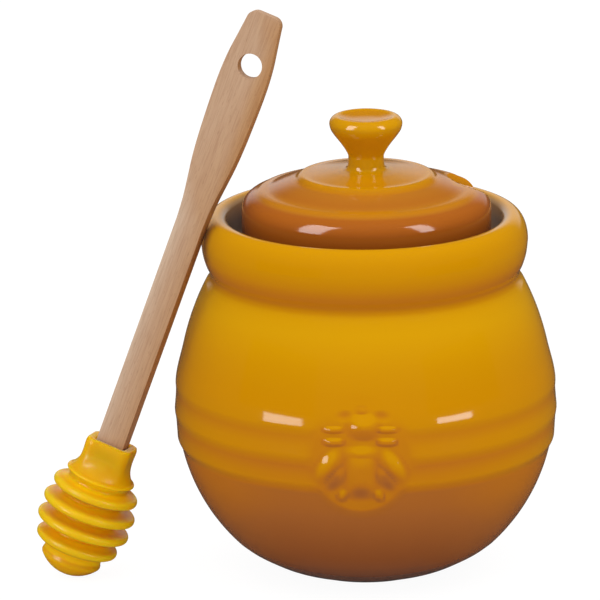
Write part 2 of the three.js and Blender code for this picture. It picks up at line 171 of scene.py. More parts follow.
FRONT = math.radians(-90)
BEE_SECTOR = 38
BEE_STEPS = 90
OTHER_STEPS = 140
start = FRONT - math.radians(BEE_SECTOR / 2)
jar = draw("stoneware_jar", [(r * math.cos(start), r * math.sin(start), z) for r, z in outline])
spin_round(jar, [(BEE_SECTOR, BEE_STEPS), (360 - BEE_SECTOR, OTHER_STEPS)])

# Each form of the bee: its place across and up, its half sizes, how far it stands out, its turn in
# degrees, how wide its edge is as a share of it, and how square it is (2 is an oval).
PAD = (0, 49, 13.6, 15.8, 0, 0, 1, 2)
PAD_MARGIN = 3.4
PAD_REACH = 0.25
JOIN = 8
BEE = [
    (0.5, 63.2, 2.3, 1.6, 0.2, 0, 1, 2.6),
    (1.0, 58.7, 4.9, 4.5, 1.15, 0, 0.95, 2.4),
    (0.3, 50.4, 6.6, 3.1, 0.5, 0, 1, 2.6),
    (0.1, 44.3, 5.1, 8.9, 0.85, 0, 0.8, 3.8),
]
for side in (-1, 1):
    BEE += [
        (side * 9.3, 46.6, 3.5, 7.4, 0.66, side * 33, 0.9, 2.1),
        (side * 7.4, 43.0, 2.7, 5.0, 0.3, side * 33, 0.8, 2.2),
        (side * 7.8, 57.8, 3.0, 1.2, 0.55, side * -3, 0.75, 3.4),
        (side * 7.7, 54.1, 3.0, 1.5, 0.6, side * -2, 0.75, 3.4),
        (side * 5.4, 37.5, 1.3, 2.7, 0.6, side * 16, 0.9, 2),
    ]
HOLLOWS = [(-4.6, 61.9, 3.0, 2.0, 0.2, 8, 1, 2), (6.3, 61.7, 3.6, 2.1, 0.2, -8, 1, 2)]
# Where the colour is darker or lighter than elsewhere: the fifth number is by how much. It is painted
# light on the wings, the shoulder and just under the thorax, painted shade under the wings, in the
# hollows beside the head and at the abdomen's end, and darker on the head.
LIGHT_AND_SHADE_SPOTS = [(0.3, 51.8, 6.4, 2.0, -0.12, 0, 0.8, 2.6), (0.4, 63.6, 2.3, 1.8, 0.17, 0, 0.6, 3),
               (0, 38.4, 5.3, 3.2, 0.15, 0, 1, 2.6), (0.8, 53.6, 5.0, 1.8, -0.1, 0, 1, 2)]
for side in (-1, 1):
    LIGHT_AND_SHADE_SPOTS += [(side * 9.9, 47.4, 2.2, 6.6, -0.17, side * 33, 0.5, 2),
                    (side * 7.6, 42.6, 3.3, 6.8, 0.24, side * 30, 1, 2),
                    (side * 5.4 + 0.7, 61.9, 3.2, 1.8, 0.16, side * -8, 0.9, 2)]


def inside(across, up, form):
    """1 at the middle of a form and 0 at its edge, less than 0 outside it."""
    x0, y0, half_x, half_y, _, turn, _, square = form
    turn = math.radians(turn)
    dx, dy = across - x0, up - y0
    x = abs(dx * math.cos(turn) + dy * math.sin(turn)) / half_x
    y = abs(dy * math.cos(turn) - dx * math.sin(turn)) / half_y
    return 1 - (x ** square + y ** square) ** (1 / square)


def raised(across, up, form):
    return form[4] * smooth(inside(across, up, form) / form[6])


def on_jar(point):
    """A point's way round the belly from the front, its height, and its distance from the axis."""
    x, y = point[0] / MM, point[1] / MM
    return math.atan2(x, -y) * BELLY_RADIUS, point[2] / MM, math.hypot(x, y)


def outside(radius, up):
    return radius >= belly(up) - 1


# The mesh is made finer where the bee will stand. Its forms are then raised, joined by a norm that
# lets them melt into one another.
bpy.ops.object.mode_set(mode="EDIT")
bpy.ops.mesh.select_mode(type="FACE")
bpy.ops.mesh.select_all(action="DESELECT")
bpy.ops.object.mode_set(mode="OBJECT")
for face in jar.data.polygons:
    x, y, z = face.center / MM
    near = abs(x) < PAD[2] + 1 and y < -BELLY_RADIUS / 2 and abs(z - PAD[1]) < PAD[3] + 1
    face.select = near and outside(math.hypot(x, y), z)
bpy.ops.object.mode_set(mode="EDIT")
bpy.ops.mesh.subdivide(number_cuts=2)
bpy.ops.object.mode_set(mode="OBJECT")

relief = [0.0] * len(jar.data.vertices)
pad_share = [0.0] * len(jar.data.vertices)
for vertex in jar.data.vertices:
    across, up, radius = on_jar(vertex.co)
    near = inside(across, up, PAD)
    if near < -PAD_REACH or not outside(radius, up):
        continue
    on_pad = smooth(1 + near * PAD[2] / PAD_MARGIN)
    pad_share[vertex.index] = on_pad
    level = bands(up) if up > BAND_BOTTOM + 2 * BAND_PITCH + BAND_LIP else BAND_OUT
    bee = sum(raised(across, up, form) ** JOIN for form in BEE) ** (1 / JOIN)
    bee -= max(raised(across, up, form) for form in HOLLOWS)
    relief[vertex.index] = bee
    target = belly(up) + bands(up) * (1 - on_pad) + level * on_pad + bee
    vertex.co.x *= target / radius
    vertex.co.y *= target / radius
jar.data.update()

# How deep a place lies is what it lacks to the mean of the places round it. Deeper places are
# coloured darker further down.
MEAN_ROUNDS = 14
mean = relief
joined = [edge.vertices for edge in jar.data.edges
          if relief[edge.vertices[0]] != relief[edge.vertices[1]]]
for step in range(MEAN_ROUNDS):
    total = [0.0] * len(mean)
    count = [0] * len(mean)
    for a, b in joined:
        total[a] += mean[b]
        total[b] += mean[a]
        count[a] += 1
        count[b] += 1
    mean = [0.5 * m + 0.5 * t / c if c else m for m, t, c in zip(mean, total, count)]
deep = [m - r for m, r in zip(mean, relief)]

# The colour runs from golden yellow at the top to amber at the foot, as the glaze does, with painted
# shade on it: browner under the collar, in the bands' grooves and under their lips. Towards the
# sides,
# below the widest part, it is paler: painted light. On the pad, faces that look down are browner and
# faces that look up yellower: painted shade and painted light. Inside, from the lip down, a taupe
# glaze.
# Amber by height, with painted shade under the collar, in the bands' grooves and under their lips.
GLAZE_AND_SHADE_BY_HEIGHT = [
    (0, 1.0), (8, 0.93), (20, 0.84), (32, 0.72), (36, 0.7), (37.4, 0.7), (39, 0.55), (40.6, 0.38),
    (43, 0.43), (46, 0.6), (49, 0.3), (52, 0.3), (55, 0.44), (58, 0.23), (66, 0.21), (74, 0.16),
    (84, 0.05), (88.6, 0.07), (91, 0.48), (94, 0.54), (97, 0.33), (100, 0.2), (104, 0.18),
    (109, 0.12), (200, 0.12)]
PAD_SHADE = [(30, 0.5), (36, 0.49), (42, 0.47), (50, 0.43), (55, 0.4), (60, 0.27), (66, 0.2),
             (200, 0.15)]
SIDE_PAINTED_LIGHT = 0.13
SIDE_START = 0.35
SIDE_TOP = 62
SIDE_FADE = 20
DEEP_SHADE = 0.8
TILT_PAINTED_SHADE = 0.9
TILT_DARKEST = 0.22
TILT_PALEST = 0.3
PAD_PALEST = 0.17
TAUPE_RADIUS = LIP_RADIUS - 0.2
TAUPE_FADE = 2.6
TAUPE_DEPTH = 1.2
TAUPE_ON_LIP = 0.7


def along(stops, place):
    for (a, low), (b, high) in zip(stops, stops[1:]):
        if place <= b:
            return low + (high - low) * (place - a) / (b - a)
    return stops[-1][1]


amber = jar.data.attributes.new("amber", "FLOAT", "POINT")
inner = jar.data.attributes.new("inner", "FLOAT", "POINT")
for i, (vertex, normal) in enumerate(zip(jar.data.vertices, jar.data.vertex_normals)):
    across, up, radius = on_jar(vertex.co)
    shade = along(GLAZE_AND_SHADE_BY_HEIGHT, up)
    # Paler towards the sides, below the widest part: painted light.
    sideways = abs(vertex.co.x) / MM / max(radius, 1)
    at_side = smooth((sideways - SIDE_START) / (1 - SIDE_START))
    shade -= SIDE_PAINTED_LIGHT * at_side * smooth((SIDE_TOP - up) / SIDE_FADE)
    if pad_share[i]:
        # Faces that look down are painted browner and faces that look up yellower: painted shade and
        # light.
        tilt = normal.vector.z - (up - BELLY_HEIGHT) / BELLY_FALL
        pad_shade = along(PAD_SHADE, up) + DEEP_SHADE * max(0, deep[i])
        pad_shade -= min(TILT_PALEST, max(-TILT_DARKEST, TILT_PAINTED_SHADE * tilt))
        # The spots' painted light and shade.
        pad_shade += sum(raised(across, up, form) for form in LIGHT_AND_SHADE_SPOTS)
        shade += (max(PAD_PALEST, pad_shade) - shade) * pad_share[i]
    amber.data[i].value = min(1, max(0, shade))
    if up < GALLERY_HEIGHT - 4:
        inner.data[i].value = 1 if up > FLOOR_HEIGHT - 0.5 and radius < belly(up) - WALL / 2 else 0
    elif radius < TAUPE_RADIUS:
        inner.data[i].value = max(TAUPE_ON_LIP * smooth((TAUPE_RADIUS - radius) / TAUPE_FADE),
                                  smooth((LIP_HEIGHT - up) / TAUPE_DEPTH - 1))


def linear(colour):
    parts = [int(colour[i:i + 2], 16) / 255 for i in (1, 3, 5)]
    return [p / 12.92 if p <= 0.04045 else ((p + 0.055) / 1.055) ** 2.4 for p in parts] + [1.0]


def new_material(name, piece, **numbers):
    material = bpy.data.materials.new(name)
    material.use_nodes = True
    shader = material.node_tree.nodes["Principled BSDF"]
    for socket, value in numbers.items():
        shader.inputs[socket.replace("_", " ")].default_value = value
    piece.data.materials.clear()
    piece.data.materials.append(material)
    return material, shader


def add_node(material, kind, links=(), inputs=(), stops=(), **settings):
    """Adds a node, with its settings, the values of its sockets, its links and its ramp's colours."""
    node = material.node_tree.nodes.new(kind)
    for name, value in settings.items():
        setattr(node, name, value)
    for socket, value in dict(inputs).items():
        node.inputs[socket].default_value = value
    for socket, source in dict(links).items():
        material.node_tree.links.new(source, node.inputs[socket])
    for i, (place, colour) in enumerate(stops):
        element = node.color_ramp.elements[i] if i < 2 else node.color_ramp.elements.new(place)
        element.position = place
        element.color = linear(colour)
    return node


def connect(material, source, shader, socket):
    material.node_tree.links.new(source, shader.inputs[socket])


PEEL_SIZE = 4


def orange_peel(material, shader):
    """The fine unevenness of a fired glaze, which breaks the edges of what it reflects."""
    place = add_node(material, "ShaderNodeTexCoord")
    peel = add_node(material, "ShaderNodeTexNoise", {"Vector": place.outputs["Object"]},
                    {"Scale": 1 / (PEEL_SIZE * MM), "Detail": 1})
    bump = add_node(material, "ShaderNodeBump", {"Height": peel.outputs[0]},
                    {"Strength": 0.03, "Distance": 0.4 * MM})
    connect(material, bump.outputs[0], shader, "Normal")


# Feldspar glaze, fired to a smooth gloss. It lies a little uneven, like orange peel.
glaze, shader = new_material("glaze_golden_to_amber", jar, Roughness=0.07, IOR=1.5,
                             Specular_IOR_Level=0.4)
amber_value = add_node(glaze, "ShaderNodeAttribute", attribute_name="amber")
golden = add_node(glaze, "ShaderNodeValToRGB", {0: amber_value.outputs["Fac"]}, stops=[
    (0.0, "#DCA202"), (1.0, "#885640"), (0.22, "#CE8A02"), (0.42, "#C67C0E"), (0.58, "#C07218"),
    (0.74, "#A8622A"), (0.88, "#965428")])
inner_value = add_node(glaze, "ShaderNodeAttribute", attribute_name="inner")
both_glazes = add_node(glaze, "ShaderNodeMix",
                       {0: inner_value.outputs["Fac"], 6: golden.outputs[0]},
                       {7: linear("#887A6F")}, data_type="RGBA")
connect(glaze, both_glazes.outputs[2], shader, "Base Color")
orange_peel(glaze, shader)

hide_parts("jar")
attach(jar, "jar")


# The lid is stoneware too, cast with its dished knob in one piece. A plug under its edge keeps it in
# the gallery, beads ring its band, and a notch through its edge lets the dipper's handle out.
SEAT = 99.3
LID_RADIUS = 37
LID_CORNER = 5
LID_WALL_TOP = 110
PLUG_RADIUS = 32.4
HOLLOW_RADIUS = 28.2
KNOB_RADIUS = 10.8
STEM_RADIUS = 5.25

hollow = blend([(0, 117.7), (10, 117.3), (19, 115.4), (25.6, 112.6), (27.6, 111),
                (HOLLOW_RADIUS, 108.6)], 3)
plug = [(HOLLOW_RADIUS, 96.2), *arc((HOLLOW_RADIUS + 1, 96.3), (1, 1), 180, 270, 3),
        *arc((PLUG_RADIUS - 1, 96.3), (1, 1), 270, 360, 3), (PLUG_RADIUS, SEAT - 0.4),
        (PLUG_RADIUS + 0.4, SEAT)]
wall = [*arc((LID_RADIUS - 0.7, SEAT + 0.7), (0.7, 0.7), 270, 360, 3), (LID_RADIUS, 103),
        (LID_RADIUS, 106.5)]
shoulder = arc((LID_RADIUS - LID_CORNER, LID_WALL_TOP), (LID_CORNER, LID_CORNER), 0, 68, 12)
band = blend([
    shoulder[-1], (32.7, 115.2), (31.7, 115.75), (30.6, 116.05), (29.6, 116.2), (28.5, 116.5),
    (26, 117.55), (23, 118.65), (21.4, 119.15), (20.7, 119.55), (20, 120.25), (19.2, 120.65),
    (18.2, 120.7), (17, 120.8), (14, 121.2), (10, 121.7)], 4)
stem = blend([
    band[-1], (6.9, 122), (5.95, 122.3), (5.45, 123), (5.3, 124.2), (STEM_RADIUS, 125.5),
    (5.35, 126.4), (5.85, 127.5), (6.75, 129), (7.9, 130.6), (9.3, 132.4), (10.35, 134),
    (KNOB_RADIUS, 135.6), (10.65, 136.7), (9.9, 137.7), (8.9, 138.2), (7.9, 138.1), (6.6, 137.65),
    (4, 137.1), (0, 136.9)], 4)
lid_outline = [*hollow, *plug, *wall, *shoulder, *band[1:], *stem[1:]]
LID_STEPS = 200
lid = spin_round(draw("stoneware_lid", [(r, 0, z) for r, z in lid_outline]), [(360, LID_STEPS)])

# The notch's cutter: a block with round corners whose top flares in even steps along the lid's slope.
NOTCH_ANGLE = 19
NOTCH_HALF_WIDTH = 7
NOTCH_REACH = 27.2
NOTCH_CORNER = 4.5
NOTCH_FLARE = 3.6
NOTCH_SLOPE = 0.42
FLARE_HEIGHT = 5
FLARE_STEPS = 8
FLARE_RADIUS = 31
FLARE_LIFT = 2.6
CUTTER_LENGTH = 20
CUTTER_BOTTOM = 92
CUTTER_TOP = 108
cutter_middle = NOTCH_REACH + CUTTER_LENGTH / 2
bpy.ops.object.select_all(action="DESELECT")
bpy.ops.mesh.primitive_cube_add(
    size=1, location=(cutter_middle * MM, 0, (CUTTER_BOTTOM + CUTTER_TOP) / 2 * MM),
    scale=(CUTTER_LENGTH * MM, 2 * NOTCH_HALF_WIDTH * MM, (CUTTER_TOP - CUTTER_BOTTOM) * MM))
cutter = bpy.context.object
bpy.ops.object.transform_apply(location=True, scale=True)
bpy.ops.object.mode_set(mode="EDIT")
bpy.ops.mesh.select_all(action="DESELECT")
bpy.ops.mesh.select_mode(type="EDGE")
bpy.ops.object.mode_set(mode="OBJECT")
for edge in cutter.data.edges:
    ends = [cutter.data.vertices[v].co for v in edge.vertices]
    edge.select = abs(ends[0].z - ends[1].z) > MM and ends[0].x < cutter_middle * MM
bpy.ops.object.mode_set(mode="EDIT")
bpy.ops.mesh.bevel(offset=NOTCH_CORNER * MM, segments=10, affect="EDGES")
bpy.ops.mesh.select_mode(type="FACE")
bpy.ops.mesh.select_all(action="DESELECT")
bpy.ops.object.mode_set(mode="OBJECT")
for face in cutter.data.polygons:
    face.select = face.normal.z > 0.9
bpy.ops.object.mode_set(mode="EDIT")
flare = arc((CUTTER_LENGTH / 2 + NOTCH_FLARE, 0), (-NOTCH_FLARE, FLARE_HEIGHT), 0, 90, FLARE_STEPS)
narrower = CUTTER_LENGTH / 2 - NOTCH_HALF_WIDTH
for (half_before, up_before), (half, up) in zip(flare, flare[1:]):
    rise = (0, 0, (up - up_before) * MM)
    bpy.ops.mesh.extrude_region_move(TRANSFORM_OT_translate={"value": rise})
    grow = (half / half_before, (half - narrower) / (half_before - narrower), 1)
    bpy.ops.transform.resize(value=grow, center_override=(cutter_middle * MM, 0, 0))
bpy.ops.mesh.extrude_region_move(TRANSFORM_OT_translate={"value": (0, 0, 12 * MM)})
bpy.ops.object.mode_set(mode="OBJECT")
for vertex in cutter.data.vertices:
    if vertex.co.z > (CUTTER_TOP - 0.1) * MM:
        vertex.co.z -= NOTCH_SLOPE * (vertex.co.x - FLARE_RADIUS * MM) - FLARE_LIFT * MM
cutter.data.transform(Matrix.Rotation(math.radians(NOTCH_ANGLE), 4, "Z"))
cutter.data.update()

bpy.ops.object.select_all(action="DESELECT")
bpy.context.view_layer.objects.active = lid
lid.select_set(True)
cut = lid.modifiers.new("notch", "BOOLEAN")
cut.object = cutter
cut.solver = "MANIFOLD"
bpy.ops.object.modifier_apply(modifier=cut.name)
bpy.data.objects.remove(cutter)
bpy.ops.object.shade_smooth_by_angle(angle=math.radians(42))

# Its glaze is amber round the wall, where the lid was dipped, and golden towards the knob. It is pale
# over the beads and the knob's crest, and darker in the knob's dish and down the wall. Under the
# knob,
# faces that look down are browner: painted shade.
LID_GLAZE = [
    (0, 0.1), (7, 0.16), (12, 0.24), (17, 0.3), (18.6, 0.2), (20.2, 0.3), (22, 0.55), (27, 0.62),
    (28.6, 0.56), (30, 0.38), (32, 0.42), (33.8, 0.7), (36.4, 0.75), (37.5, 0.8)]
STEM_FOOT = 121.9
KNOB_SHADE = 0.1
UNDER_KNOB_PAINTED_SHADE = 0.35
DISH_HEIGHT = 136
DISH_RADIUS = 8.6
DISH_SHADE = 0.2
WALL_SHADE = 0.1
WALL_FADE_TOP = 114
WALL_FADE = 14
NOTCH_SHADE = 0.36
NOTCH_EDGE = 0.8
amber = lid.data.attributes.new("amber", "FLOAT", "POINT")
for i, (vertex, normal) in enumerate(zip(lid.data.vertices, lid.data.vertex_normals)):
    up = vertex.co.z / MM
    radius = math.hypot(vertex.co.x, vertex.co.y) / MM
    if up < STEM_FOOT:
        shade = along(LID_GLAZE, radius)
    else:
        # Faces under the knob that look down are browner: painted shade.
        shade = KNOB_SHADE - UNDER_KNOB_PAINTED_SHADE * min(0, normal.vector.z)
    if up > DISH_HEIGHT:
        shade += DISH_SHADE * smooth((DISH_RADIUS - radius) / 2)
    if radius > LID_RADIUS - 7:
        shade += WALL_SHADE * max(0, WALL_FADE_TOP - up) / WALL_FADE
    turn = math.atan2(vertex.co.y, vertex.co.x) - math.radians(NOTCH_ANGLE)
    in_notch = min(NOTCH_HALF_WIDTH + NOTCH_FLARE - abs(radius * math.sin(turn)),
                   radius * math.cos(turn) - NOTCH_REACH + NOTCH_FLARE)
    shade += (NOTCH_SHADE - shade) * smooth(0.5 + in_notch / NOTCH_EDGE)
    amber.data[i].value = min(1, max(0, shade))
# The lid sits a little to one side in its seat, as far as its play lets it.
LID_PLAY = 0.65
lid.data.transform(Matrix.Translation((LID_PLAY * MM, 0, 0)))
lid.data.update()
# The same feldspar glaze as the jar's, a little less glossy.
lid_glaze, shader = new_material("glaze_amber_lid", lid, Roughness=0.1, IOR=1.5,
                                 Specular_IOR_Level=0.4)
amber_value = add_node(lid_glaze, "ShaderNodeAttribute", attribute_name="amber")
golden = add_node(lid_glaze, "ShaderNodeValToRGB", {0: amber_value.outputs["Fac"]}, stops=[
    (0.0, "#D89C04"), (1.0, "#8A4410"), (0.22, "#CC8A02"), (0.4, "#C47C10"), (0.55, "#BC741C"),
    (0.7, "#B0611A"), (0.85, "#A05314")])
connect(lid_glaze, golden.outputs[0], shader, "Base Color")
orange_peel(lid_glaze, shader)

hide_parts("lid")
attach(lid, "lid")


# The dipper's head is silicone, moulded in one piece: a round tip, four thick discs that hold the
# honey, a thin flange, and a soft square collar whose socket grips the handle.
TIP_RADIUS = 11.2567
DIPPER_LEAN = 20
DIPPER_TURN = 14.5
DIPPER_FOOT = (-85.91, -12.5, TIP_RADIUS)
DISCS = [(10.4, 12.55), (16.1, 14.15), (21.8, 14.2), (27.5, 13.05)]
DISC_SIDE = [(8.9, 2.65), (9.5, 2.2), (11.4, 1.45)]
DISC_ROUNDING = (1.1, 1.2)
FLANGE_RADIUS = 10.45
FLANGE_HEIGHT = 32.3
CUFF_RADIUS = 8.2
CUFF_SQUARE = (7.1, 5.8, 2.8)
CUFF_BLEND = 6.4
HEAD_LENGTH = 43.2
SOCKET_BOTTOM = 25.2
SOCKET_RADIUS = 4.9
SOCKET_SQUARE = (4.55, 3.5, 1)
HEAD_STEPS = 128
stand = (Matrix.Translation(Vector(DIPPER_FOOT) * MM)
         @ Matrix.Rotation(math.radians(DIPPER_LEAN), 4, "Y")
         @ Matrix.Rotation(math.radians(-DIPPER_TURN), 4, "Z")
         @ Matrix.Translation((0, 0, -TIP_RADIUS * MM)))

tip = arc((0, TIP_RADIUS), (TIP_RADIUS, TIP_RADIUS), -90, -37, 10)
head_outline = [*tip, (9.15, 4.9), (9.1, 5.4), (8.9, 5.9), (8.8, 6.6), (9, 7.3)]
for height, radius in DISCS:
    rim = arc((radius - DISC_ROUNDING[0], height), DISC_ROUNDING, -80, 80, 10)
    head_outline += [(side_radius, height - down) for side_radius, down in DISC_SIDE]
    head_outline += rim
    head_outline += [(side_radius, height + up) for side_radius, up in reversed(DISC_SIDE)]
head_outline += [(9.2, FLANGE_HEIGHT - 1.6), (9.5, FLANGE_HEIGHT - 0.9)]
head_outline += arc((FLANGE_RADIUS - 0.55, FLANGE_HEIGHT), (0.55, 0.55), -75, 75, 6)
head_outline += blend([
    (9.6, FLANGE_HEIGHT + 0.8), (8.9, FLANGE_HEIGHT + 1.9), (8.4, FLANGE_HEIGHT + 3.4),
    (CUFF_RADIUS, FLANGE_HEIGHT + 5.4), (CUFF_RADIUS, FLANGE_HEIGHT + 7.2),
    (CUFF_RADIUS + 0.1, HEAD_LENGTH - 1.6), (CUFF_RADIUS - 0.1, HEAD_LENGTH - 0.5),
    (7.6, HEAD_LENGTH), (5.6, HEAD_LENGTH), (5, HEAD_LENGTH - 0.4)], 3)
head_outline += [(SOCKET_RADIUS, HEAD_LENGTH - 1.2), (SOCKET_RADIUS, HEAD_LENGTH - 6),
                 (SOCKET_RADIUS, SOCKET_BOTTOM), (0, SOCKET_BOTTOM)]
head = spin_round(draw("silicone_head", [(r, 0, z) for r, z in head_outline]), [(360, HEAD_STEPS)])


def rounded_square(turn, half_wide, half_deep, corner):
    """The distance from the middle to the edge of a square with round corners."""
    c, s = abs(math.cos(turn)), abs(math.sin(turn))
    flat = min(half_wide / max(c, 1e-6), half_deep / max(s, 1e-6))
    x, y = flat * c, flat * s
    cx, cy = half_wide - corner, half_deep - corner
    if x <= cx or y <= cy:
        return flat
    along_ray = c * cx + s * cy
    return along_ray + math.sqrt(max(0, along_ray ** 2 - (cx ** 2 + cy ** 2 - corner ** 2)))


# Above the flange the head turns from round to square, and so does its socket. How deep a place lies
# between the discs is kept for its colour, which paints the grooves brighter as painted light.
GROOVE_RADIUS = 9.2
GROOVE_DEPTH = 3.4
PLAIN_SHARE = 0.35
groove = head.data.attributes.new("groove", "FLOAT", "POINT")
for i, vertex in enumerate(head.data.vertices):
    up = vertex.co.z / MM
    radius = math.hypot(vertex.co.x, vertex.co.y) / MM
    sunk = 1 - smooth((radius - GROOVE_RADIUS) / GROOVE_DEPTH)
    groove.data[i].value = sunk if 6 < up < FLANGE_HEIGHT else PLAIN_SHARE
    turn = math.atan2(vertex.co.y, vertex.co.x)
    opening = rounded_square(turn, *SOCKET_SQUARE) / SOCKET_RADIUS
    if radius < SOCKET_RADIUS + 0.2 and up > SOCKET_BOTTOM - 0.1:
        factor = opening
    elif up >= FLANGE_HEIGHT:
        on_rim = (CUFF_RADIUS - radius) / (CUFF_RADIUS - 5) if up > HEAD_LENGTH - 1.5 else 0
        outer = rounded_square(turn, *CUFF_SQUARE) / CUFF_RADIUS
        square = outer + (opening - outer) * min(1, max(0, on_rim))
        factor = 1 + smooth((up - FLANGE_HEIGHT) / CUFF_BLEND) * (square - 1)
    else:
        continue
    vertex.co.x *= factor
    vertex.co.y *= factor
head.data.transform(stand)
head.data.update()

# Food-safe silicone rubber, pressed in a polished mould: a soft sheen, and light that sinks a little
# way in and comes back warmer; the grooves' glow is also painted into their colour as painted light.
silicone, shader = new_material(
    "silicone_yellow", head, Roughness=0.26, IOR=1.42, Specular_IOR_Level=0.33,
    Subsurface_Weight=0.8, Subsurface_Radius=(1.0, 0.5, 0.05), Subsurface_Scale=8 * MM)
place = add_node(silicone, "ShaderNodeTexCoord")
# Clouds about 11 mm across, faint.
cloudy = add_node(silicone, "ShaderNodeTexNoise", {"Vector": place.outputs["Object"]},
                  {"Scale": 90, "Detail": 2})
depth_value = add_node(silicone, "ShaderNodeAttribute", attribute_name="groove")
uneven = add_node(silicone, "ShaderNodeMath",
                  {0: cloudy.outputs[0], 2: depth_value.outputs["Fac"]}, {1: 0.12},
                  operation="MULTIPLY_ADD")
# The grooves are coloured brighter and warmer than the rims: painted light.
tone = add_node(silicone, "ShaderNodeValToRGB", {0: uneven.outputs[0]},
                stops=[(0.05, "#E2B810"), (1, "#FFC804"), (0.4, "#E4AA04")])
connect(silicone, tone.outputs[0], shader, "Base Color")
# Mould texture about 0.5 mm across, faint.
grit = add_node(silicone, "ShaderNodeTexNoise", {"Vector": place.outputs["Object"]},
                {"Scale": 1 / (0.5 * MM), "Detail": 2})
grit_bump = add_node(silicone, "ShaderNodeBump", {"Height": grit.outputs[0]},
                     {"Strength": 0.05, "Distance": 0.1 * MM})
connect(silicone, grit_bump.outputs[0], shader, "Normal")

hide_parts("dipper_head")
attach(head, "dipper")


# The dipper's handle is beech, sawn from a flat board along its grain, with a waisted grip and a
# hanging hole. Its edges are rounded over, and it is sanded and left bare.
BOARD = 6.4
BAR_HALF = 4.25
GRIP_HALF = 7
DIPPER_LENGTH = 182
GRIP_TOP = DIPPER_LENGTH - 1
GRIP_LENGTH = 65.5
END_ROUNDING = 2.8
HOLE_RADIUS = 3.7
HOLE_DISTANCE = 16.1
HOLE_ASIDE = 0.7
# Down the grip as a share of its length, and how far its flank stands out there, from bar to grip.
GRIP_END = 0.38
GRIP_SHAPE = [(0.11, 0.65), (0.21, 0.97), (0.31, 1.1), (0.41, 1.08), (0.51, 1.0), (0.61, 0.89),
              (0.71, 0.7), (0.8, 0.42), (0.9, 0.13), (1, 0)]
end_half = BAR_HALF + GRIP_END * (GRIP_HALF - BAR_HALF)
flank = blend([(end_half, DIPPER_LENGTH - END_ROUNDING), *[
    (BAR_HALF + out * (GRIP_HALF - BAR_HALF), GRIP_TOP - down * GRIP_LENGTH)
    for down, out in GRIP_SHAPE]], 4)
corner = arc((end_half - END_ROUNDING, DIPPER_LENGTH - END_ROUNDING),
             (END_ROUNDING, END_ROUNDING), 90, 0, 8)
right = [*corner[:-1], *flank, (BAR_HALF, SOCKET_BOTTOM + 0.5)]
left = [(-x, z) for x, z in reversed(right)]
handle = draw("beech_handle", [(x, -BOARD / 2, z) for x, z in [*right, *left]])
bpy.ops.mesh.edge_face_add()
bpy.ops.mesh.extrude_region_move(TRANSFORM_OT_translate={"value": (0, BOARD * MM, 0)})
bpy.ops.mesh.select_all(action="SELECT")
bpy.ops.mesh.normals_make_consistent(inside=False)
bpy.ops.object.mode_set(mode="OBJECT")
bpy.ops.object.select_all(action="DESELECT")
bpy.ops.mesh.primitive_cylinder_add(
    vertices=64, radius=HOLE_RADIUS * MM, depth=4 * BOARD * MM, rotation=(math.radians(90), 0, 0),
    location=(HOLE_ASIDE * MM, 0, (DIPPER_LENGTH - HOLE_DISTANCE) * MM))
drill = bpy.context.object
bpy.ops.object.select_all(action="DESELECT")
bpy.context.view_layer.objects.active = handle
handle.select_set(True)
hole = handle.modifiers.new("hole", "BOOLEAN")
hole.object = drill
hole.solver = "MANIFOLD"
bpy.ops.object.modifier_apply(modifier=hole.name)
bpy.data.objects.remove(drill)

# The grip is rounded more than the bar, the hole's edge least, and the grip thins towards its end.
ROUNDING = 2.4
HOLE_SHARE = 0.25
BAR_SHARE = 0.4
BAR_TOP = 90
THIN_FROM = 120
THINNING = 0.52
weights = handle.data.attributes.new("bevel_weight_edge", "FLOAT", "EDGE")
for i, edge in enumerate(handle.data.edges):
    ends = [handle.data.vertices[v].co / MM for v in edge.vertices]
    middle = (ends[0] + ends[1]) / 2
    if abs(ends[0].y - ends[1].y) > 0.1 or min(ends[0].z, ends[1].z) < SOCKET_BOTTOM + 1:
        continue
    to_hole = math.hypot(middle.x - HOLE_ASIDE, middle.z - DIPPER_LENGTH + HOLE_DISTANCE)
    by_height = BAR_SHARE + (1 - BAR_SHARE) * smooth((middle.z - BAR_TOP) / 35)
    weights.data[i].value = HOLE_SHARE if to_hole < HOLE_RADIUS + 0.5 else by_height
rounding = handle.modifiers.new("edges", "BEVEL")
rounding.limit_method = "WEIGHT"
rounding.width = ROUNDING * MM
rounding.segments = 6
bpy.ops.object.modifier_apply(modifier=rounding.name)
for vertex in handle.data.vertices:
    up = vertex.co.z / MM
    vertex.co.y *= 1 - THINNING * smooth((up - THIN_FROM) / (DIPPER_LENGTH - THIN_FROM))
bpy.ops.object.shade_smooth_by_angle(angle=math.radians(35))

# The board's tone is kept as 0 where it is palest and 1 where it is brownest. The bar is pale at its
# left, as painted light; the front turns browner to its right and more so on the grip, as painted
# shade; and the edge faces are brownest.
FACE_TONE = 0.35
RIGHT_PAINTED_SHADE = 0.55
GRIP_FOOT = 112
tone_light_and_shade = handle.data.attributes.new("edge", "FLOAT", "POINT")
for i, (vertex, normal) in enumerate(zip(handle.data.vertices, handle.data.vertex_normals)):
    up = vertex.co.z / MM
    half = BAR_HALF + (GRIP_HALF - BAR_HALF) * smooth((up - BAR_TOP) / 30)
    aside = vertex.co.x / MM / half
    # Painted light on the bar's left and painted shade towards the right.
    pale = (1 - smooth((up - GRIP_FOOT) / 25)) * (1 - smooth((aside + 0.7) / 1.3))
    right_painted_shade = smooth((aside - 0.1) / 0.9) * (0.6 + 0.4 * smooth((up - 75) / 30))
    side = smooth((abs(normal.vector.x) - 0.5) / 0.4)
    tone_light_and_shade.data[i].value = max(FACE_TONE * (1 - pale) + RIGHT_PAINTED_SHADE * right_painted_shade, side)
handle.data.transform(stand)
handle.data.update()

